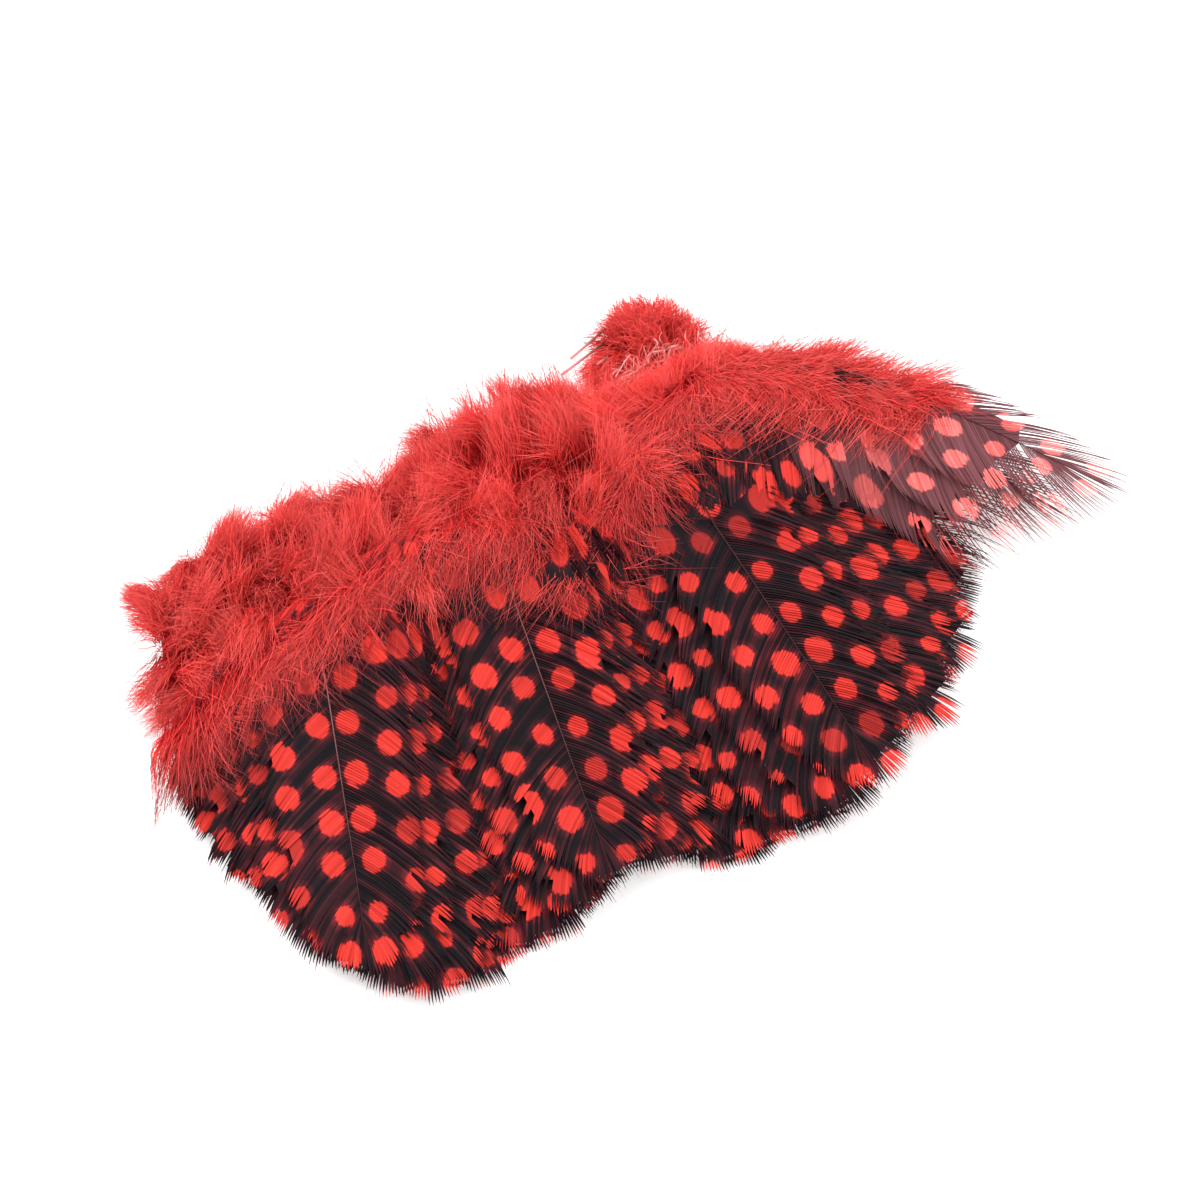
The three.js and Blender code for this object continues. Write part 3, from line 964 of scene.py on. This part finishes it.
def add_core(mesh, lie):
    """The dense middle of the down, a closed slice as wide as the feather's place, in painted shade."""
    turn = np.linspace(CORE_FROM_TABLE, math.pi - CORE_FROM_TABLE, CORE_STEPS)
    rings = [ridge_point(np.full(CORE_STEPS, lie.place + aside), turn, size) for aside, size in CORE_CORNERS]
    mesh.add_grid(np.stack(rings, axis=1)[None], np.zeros(2), CORE_SHADE_TONE, DOWN, closed=True)


# %% [markdown]
# ## Down over the vanes
#
# The spots don't begin at a line. Loose down from the base lies over the first spots in thin small
# tufts, and its tips take the dark dye there. At the left end it is thickest and stands up most. At
# the right end the last feathers' own down lies sideways over the start of their vanes.

# %% Down that lies over the vanes
VEIL_BARBS = 180
VEIL_TUFTS = 8
VEIL_HALF_WIDTH = 0.050
VEIL_LONGEST = 12
VEIL_CURL = 0.5
END_BARBS = 500


def add_veil(mesh, lie, rng):
    n = VEIL_BARBS
    left = math.exp(-lie.place / 4)
    mine = rng.integers(0, VEIL_TUFTS, n)
    cling = 0.35 + 0.45 * left
    tuft_place = rng.normal(0, 0.6, VEIL_TUFTS)
    tuft_reach = rng.exponential(1, VEIL_TUFTS)
    tuft_swing = rng.normal(-0.8, 2.2, VEIL_TUFTS)
    tuft_lift = rng.uniform(0.2, 1.6 + 2.2 * left, VEIL_TUFTS)
    place = lie.place + cling * tuft_place[mine] + (1 - cling) * rng.normal(0, 0.9, n)
    edge = read_table(DOWN_EDGE, place)
    start_out = edge - rng.uniform(-2, 4, n) - 4 * left * rng.uniform(0, 1, n)
    part = cling * tuft_reach[mine] + (1 - cling) * rng.exponential(1, n)
    usual = 4.5 + 4 * np.exp(-np.maximum(place, 0) / 5) - 1.8 * np.clip((place - 29) / 3, 0, 1)
    end_out = edge + EDGE_OVERLAP + np.minimum(usual * part, VEIL_LONGEST)
    swing = cling * tuft_swing[mine] + (1 - cling) * rng.normal(-0.8, 2.6, n)
    q = np.linspace(0, 1, DOWN_STEPS + 1)[None, :]
    out = start_out[:, None] + (end_out - start_out)[:, None] * q
    at_place = np.clip(place[:, None] + swing[:, None] * q ** 1.5, -1.6, RIDGE_FEATHERS - 0.2)
    # The root is buried; the middle stands up from the vane and the tip comes down again.
    high = cling * tuft_lift[mine] + (1 - cling) * rng.uniform(0.2, 1.6 + left, n)
    lift = 0.3 + high[:, None] * np.sin(math.pi * q * 0.9) - 3 * (1 - q) ** 2
    height = top_height(at_place, out) + lift
    lines = np.concatenate([plan(at_place, out), height[..., None]], axis=-1)
    lines = curl(rng, lines, VEIL_CURL)
    dark = np.clip(0.6 * (end_out - edge)[:, None] / 11 * q + rng.normal(0, 0.15, (n, 1)), 0, 0.9)
    add_hairs(mesh, rng, lines, VEIL_HALF_WIDTH, rng.uniform(0.3, 1.2, n), dark)


def add_end_down(mesh, lie, rng):
    """Down of the strip's last feathers, lying sideways over the start of their own vanes."""
    n = END_BARBS
    start_out = rng.uniform(-2, lie.edge + 1, n)
    end_out = start_out + rng.uniform(1, 9, n)
    end_across = rng.uniform(1, 7, n) * np.clip((lie.edge + 12 - end_out) / 12, 0.3, 1)
    end_across += rng.normal(0, 1.2, n)
    q = np.linspace(0, 1, DOWN_STEPS)[None, :]
    out = start_out[:, None] + (end_out - start_out)[:, None] * q
    across = end_across[:, None] * q ** 1.2
    lift = lie.buried(out) * q ** 0.6 + 0.2
    lift = lift + rng.uniform(0.2, 1.6, (n, 1)) * np.sin(math.pi * q * 0.9)
    lines = curl(rng, lie.surface(out, across, lift), VEIL_CURL)
    add_hairs(mesh, rng, lines, DOWN_HALF_WIDTH, rng.uniform(-0.2, 0.9, n), np.zeros((n, 1)))


# %% [markdown]
# ## Dressing every ridge feather
#
# Each feather becomes one mesh with its shaft, both sides of its vane and its down. It stands for
# the solid feather of the same number, so it rides where that one rides.

# %% Ridge feathers
RIDGE_SEED = 100
FIRST_END_FEATHER = 33
total = 0
for place in range(RIDGE_FEATHERS):
    rng = np.random.default_rng(RIDGE_SEED + place)
    lie = Lie(place)
    mesh = FeatherMesh()
    add_shaft(mesh, lie)
    add_vane(mesh, lie, rng, -1)
    add_vane(mesh, lie, rng, 1)
    add_web(mesh, lie)
    add_core(mesh, lie)
    add_down(mesh, lie, rng)
    add_veil(mesh, lie, rng)
    if place >= FIRST_END_FEATHER:
        add_end_down(mesh, lie, rng)
    piece, triangles = mesh.make(f"barbed_feather_{place + 1:02d}", MATERIALS)
    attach(piece, "root")
    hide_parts(f"feather_{place + 1:02d}")
    total += triangles
print("ridge feathers:", RIDGE_FEATHERS, "triangles:", total)

# %% [markdown]
# ## The tuft at the end
#
# The last few feathers of the strip are short and all down. They stand behind the ridge with their
# bare quill ends to the left, and make a round tuft. On its front lie short pale stalks of down
# feathers that have lost their barbs.

# %% Tuft feathers
TUFT_X, TUFT_Y = 37, 16.9
TUFT_DIRECTION = math.radians(-6)
TUFT_SPACING = 2.8
TUFT_HEIGHT = 14
TUFT_HALF_LENGTH = 12.8
TUFT_HEART_HEIGHT = 3
TUFT_SEED = 300
TUFT_BARBS = 1900
TUFT_LOCKS = 16
TUFT_HALF_WIDTH = 0.065
TUFT_CORE_STEPS = 12
TUFT_CORE_CORNERS = [(-0.4, 0.5), (0.4, 0.5), (0.4, 0.1), (-0.4, 0.1)]
TUFT_STALKS = 130
STALK_STEPS = 7
STALK_HALF_WIDTH = 0.19
STALK_FIRST, STALK_LAST = [28, 12.6, 6.0], [47, 15.6, 11.5]
TUFT_QUILL_STEPS = 8
TUFT_QUILL_HEIGHT, TUFT_QUILL_RISE = 3.2, 5.8
LONG_QUILL, SHORT_QUILL = 2.5, -3


def tuft_plan(along, across):
    side = across * TUFT_SPACING
    x = TUFT_X + along * math.cos(TUFT_DIRECTION) - side * math.sin(TUFT_DIRECTION)
    y = TUFT_Y + along * math.sin(TUFT_DIRECTION) + side * math.cos(TUFT_DIRECTION)
    return np.stack([x, y], axis=-1)


def from_middle(k):
    return k - (TUFT_FEATHERS - 1) / 2


def tuft_size(k):
    """The tuft's outer feathers are a little smaller than its middle ones."""
    return 1 - 0.16 * abs(from_middle(k))


def add_tuft_down(mesh, k, rng):
    n = TUFT_BARBS
    mine = rng.integers(0, TUFT_LOCKS, n)
    goal_turn = np.radians(rng.uniform(4, 176, TUFT_LOCKS))
    goal_across = k + rng.normal(0, 0.7, TUFT_LOCKS)
    goal_size = tuft_size(k) * rng.uniform(0.82, 1.12, TUFT_LOCKS)
    turn = goal_turn[mine] + rng.normal(0, 0.20, n)
    across = k + rng.normal(0, 0.4, n)
    end_turn = turn + 0.6 * (goal_turn[mine] - turn) + rng.normal(0.1, 0.12, n)
    end_across = across + 0.6 * (goal_across[mine] - across) + rng.normal(0, 0.25, n)
    end_across += from_middle(k) * rng.uniform(0, 0.6, n)
    end_size = goal_size[mine] * rng.uniform(0.78, 1.04, n)
    q = np.linspace(0, 1, DOWN_STEPS)[None, :]
    bend = q ** 1.6
    at_turn = np.clip(turn[:, None] + (end_turn - turn)[:, None] * bend, FIRST_TURN_LEFT, LAST_TURN_LEFT)
    at_across = across[:, None] + (end_across - across)[:, None] * bend
    at_size = 0.35 + (end_size[:, None] - 0.35) * q ** 0.8
    along = TUFT_HALF_LENGTH * np.cos(at_turn) * at_size
    rise = TUFT_HEIGHT * (0.08 + 0.92 * np.sin(at_turn)) - TUFT_HEART_HEIGHT
    height = TUFT_HEART_HEIGHT + rise * at_size
    lines = np.concatenate([tuft_plan(along, at_across), height[..., None]], axis=-1)
    chance = 0.5 * rng.uniform(0, 1, n) + 0.5 * rng.uniform(0, 1, TUFT_LOCKS)[mine]
    add_hairs(mesh, rng, curl(rng, lines, CURL), TUFT_HALF_WIDTH, chance, np.zeros((n, 1)))


def add_tuft_core(mesh, k):
    """The dense middle of the tuft, so that it is closed from every side, in the down's painted shade."""
    size = tuft_size(k)
    turn = np.linspace(0.05, math.pi - 0.05, TUFT_CORE_STEPS)
    rings = []
    for aside, part in TUFT_CORE_CORNERS:
        along = TUFT_HALF_LENGTH * np.cos(turn) * size * part
        rise = TUFT_HEIGHT * size * (0.08 + 0.92 * np.sin(turn)) - TUFT_HEART_HEIGHT
        height = TUFT_HEART_HEIGHT + rise * part
        spot = tuft_plan(along, np.full(TUFT_CORE_STEPS, k + aside))
        rings.append(np.concatenate([spot, height[:, None]], axis=-1))
    mesh.add_grid(np.stack(rings, axis=1)[None], np.zeros(2), CORE_SHADE_TONE, DOWN, closed=True)


def add_tuft_quill(mesh, k):
    """The bare quill end: the two back feathers' quills stick out, the front ones' stay in the down."""
    longer = LONG_QUILL if k > 1 else SHORT_QUILL
    along = np.linspace(-TUFT_HALF_LENGTH - longer, -7.5, TUFT_QUILL_STEPS)
    rise = np.clip((along + TUFT_HALF_LENGTH + 3) / 9, 0, 1)
    height = TUFT_QUILL_HEIGHT + TUFT_QUILL_RISE * rise
    line = np.concatenate([tuft_plan(along * tuft_size(k), k + 0 * along), height[:, None]], axis=-1)
    mesh.add_tube(line, np.interp(along, [-16, -6], [0.26, 0.18]), 8, (0.8, 0, 0, 1), SHAFT)


def add_tuft_stalks(mesh, rng):
    """Short bare stalks of small down feathers, pale, lying every way on the tuft's front."""
    n = TUFT_STALKS
    q = np.linspace(0, 1, STALK_STEPS)[None, :]
    start = np.stack([rng.uniform(a, b, n) for a, b in zip(STALK_FIRST, STALK_LAST)], axis=-1)
    way = unit(rng.normal([0.5, 0.1, 0.5], [0.6, 0.3, 0.5], (n, 3)))
    bow = unit(rng.normal(0, 1, (n, 3)))
    length = rng.uniform(2.0, 5.0, (n, 1, 1))
    bowed = 0.35 * bow[:, None] * np.sin(math.pi * q)[..., None]
    lines = start[:, None] + length * (way[:, None] * q[..., None] + bowed)
    sideways = unit(np.cross(unit(np.gradient(lines, axis=1)), rng.standard_normal((n, 1, 3))))
    widths = np.broadcast_to(STALK_HALF_WIDTH * (1 - 0.7 * q), (n, STALK_STEPS))
    tones = np.zeros((n, STALK_STEPS, 4))
    tones[..., 0] = rng.uniform(0.5, 1, (n, 1))
    mesh.add_ribbons(lines, widths, sideways, np.zeros(2), tones, SHAFT)


for k in range(TUFT_FEATHERS):
    rng = np.random.default_rng(TUFT_SEED + k)
    mesh = FeatherMesh()
    add_tuft_down(mesh, k, rng)
    add_tuft_core(mesh, k)
    add_tuft_quill(mesh, k)
    if k == 0:
        add_tuft_stalks(mesh, rng)
    piece, triangles = mesh.make(f"downy_feather_{k + 1}", MATERIALS)
    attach(piece, "root")
    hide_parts(f"feather_{RIDGE_FEATHERS + 1 + k:02d}")
    total += triangles
print("triangles in all feathers:", total)

# %% [markdown]
# ## The thread
#
# The thread's own solid is right as it is: a thin round cord along the quills. It only needs a
# finish, a dark red twist.

# %% Thread
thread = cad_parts["thread"]
for slot in thread.material_slots:
    slot.material = thread_material
print("thread's finish:", thread_material.name)
